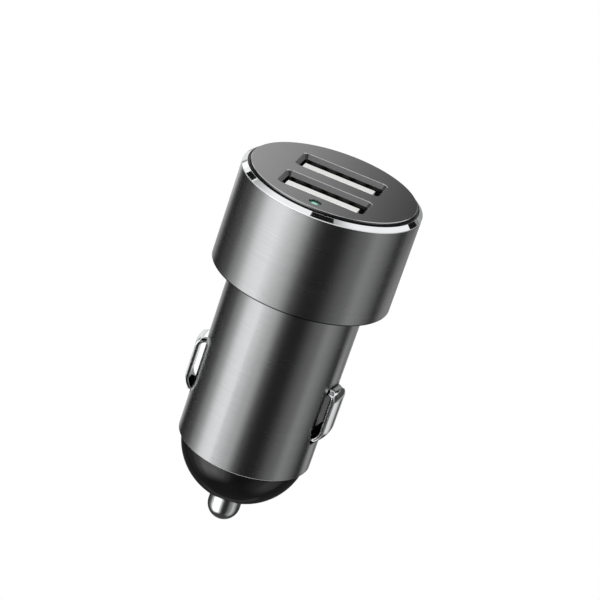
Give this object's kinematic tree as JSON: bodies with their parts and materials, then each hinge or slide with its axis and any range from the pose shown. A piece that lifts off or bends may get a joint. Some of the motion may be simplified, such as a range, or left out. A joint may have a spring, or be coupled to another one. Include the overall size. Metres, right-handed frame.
{
  "type": "car usb charger plug",
  "caption": "Twin-port plug that fits a vehicle's 12 V socket: brushed metal head and barrel, sprung tip and sprung side contacts.",
  "frame": {"origin": "centre of the head's underside, the shoulder that stops on the vehicle socket's rim", "axes": "+Z out of the vehicle socket along the plug's axis, towards the head; +X along the USB slots; the lamp is on the -Y side"},
  "size_m": [0.0274, 0.0274, 0.0584],
  "materials": {
    "brushed_gunmetal": "fine turned brushing, dark anodised",
    "bright_trim": "polished",
    "satin_face": "fine blasted satin, dark anodised",
    "black_moulding": "matt moulded",
    "socket_steel": "nickel plated strip",
    "pale_tongue": "moulded",
    "gilt_terminals": "thin gilt",
    "green_lens": "clear green, polished",
    "lamp_chip": "moulded chip",
    "green_board": "lacquered glass fibre board",
    "gloss_black": "polished moulded",
    "contact_chrome": "polished plating",
    "spring_steel": "drawn wire and strip",
    "contact_brass": "stamped sheet",
    "ferrite_black": "pressed ferrite powder",
    "capacitor_can": "drawn can",
    "chip_black": "moulded package",
    "ceramic_tan": "fired ceramic with tinned ends"
  },
  "bodies": {
    "housing": {"head_shell": "brushed_gunmetal", "barrel_shell": "brushed_gunmetal", "trim_ring": "bright_trim", "face_plate": "satin_face", "port_carrier": "black_moulding", "insulating_sleeve": "black_moulding", "usb_shell_front": "socket_steel", "usb_shell_rear": "socket_steel", "usb_insulator_front": "pale_tongue", "usb_insulator_rear": "pale_tongue", "usb_terminals_front": "gilt_terminals", "usb_terminals_rear": "gilt_terminals", "light_guide": "green_lens", "led": "lamp_chip", "port_board": "green_board", "main_board": "green_board", "nose_cap": "gloss_black", "pin_spring": "spring_steel", "ground_spring_right": "spring_steel", "ground_spring_left": "spring_steel", "positive_terminal": "contact_brass", "inductor": "ferrite_black", "input_capacitor": "capacitor_can", "output_capacitor": "capacitor_can", "buck_controller": "chip_black", "charge_manager": "chip_black", "schottky_diode": "chip_black", "input_fuse": "ceramic_tan", "ceramic_capacitors": "ceramic_tan", "chip_resistors": "ceramic_tan"},
    "tip": {"centre_pin": "contact_chrome"},
    "right_contact": {"side_contact_right": "contact_chrome"},
    "left_contact": {"side_contact_left": "contact_chrome"}
  },
  "joints": [
    {"name": "tip_press", "type": "slide", "parent": "housing", "child": "tip", "axis": [0, 0, 1], "range_m": [0, 0.002], "stiffness_N_per_m": 775, "deforming": ["pin_spring"]},
    {"name": "right_contact_press", "type": "slide", "parent": "housing", "child": "right_contact", "axis": [-0.9903, 0.1392, 0], "range_m": [0, 0.0011], "stiffness_N_per_m": 1500, "deforming": ["ground_spring_right"]},
    {"name": "left_contact_press", "type": "slide", "parent": "housing", "child": "left_contact", "axis": [0.9903, 0.1392, 0], "range_m": [0, 0.0011], "stiffness_N_per_m": 1500, "deforming": ["ground_spring_left"]}
  ]
}
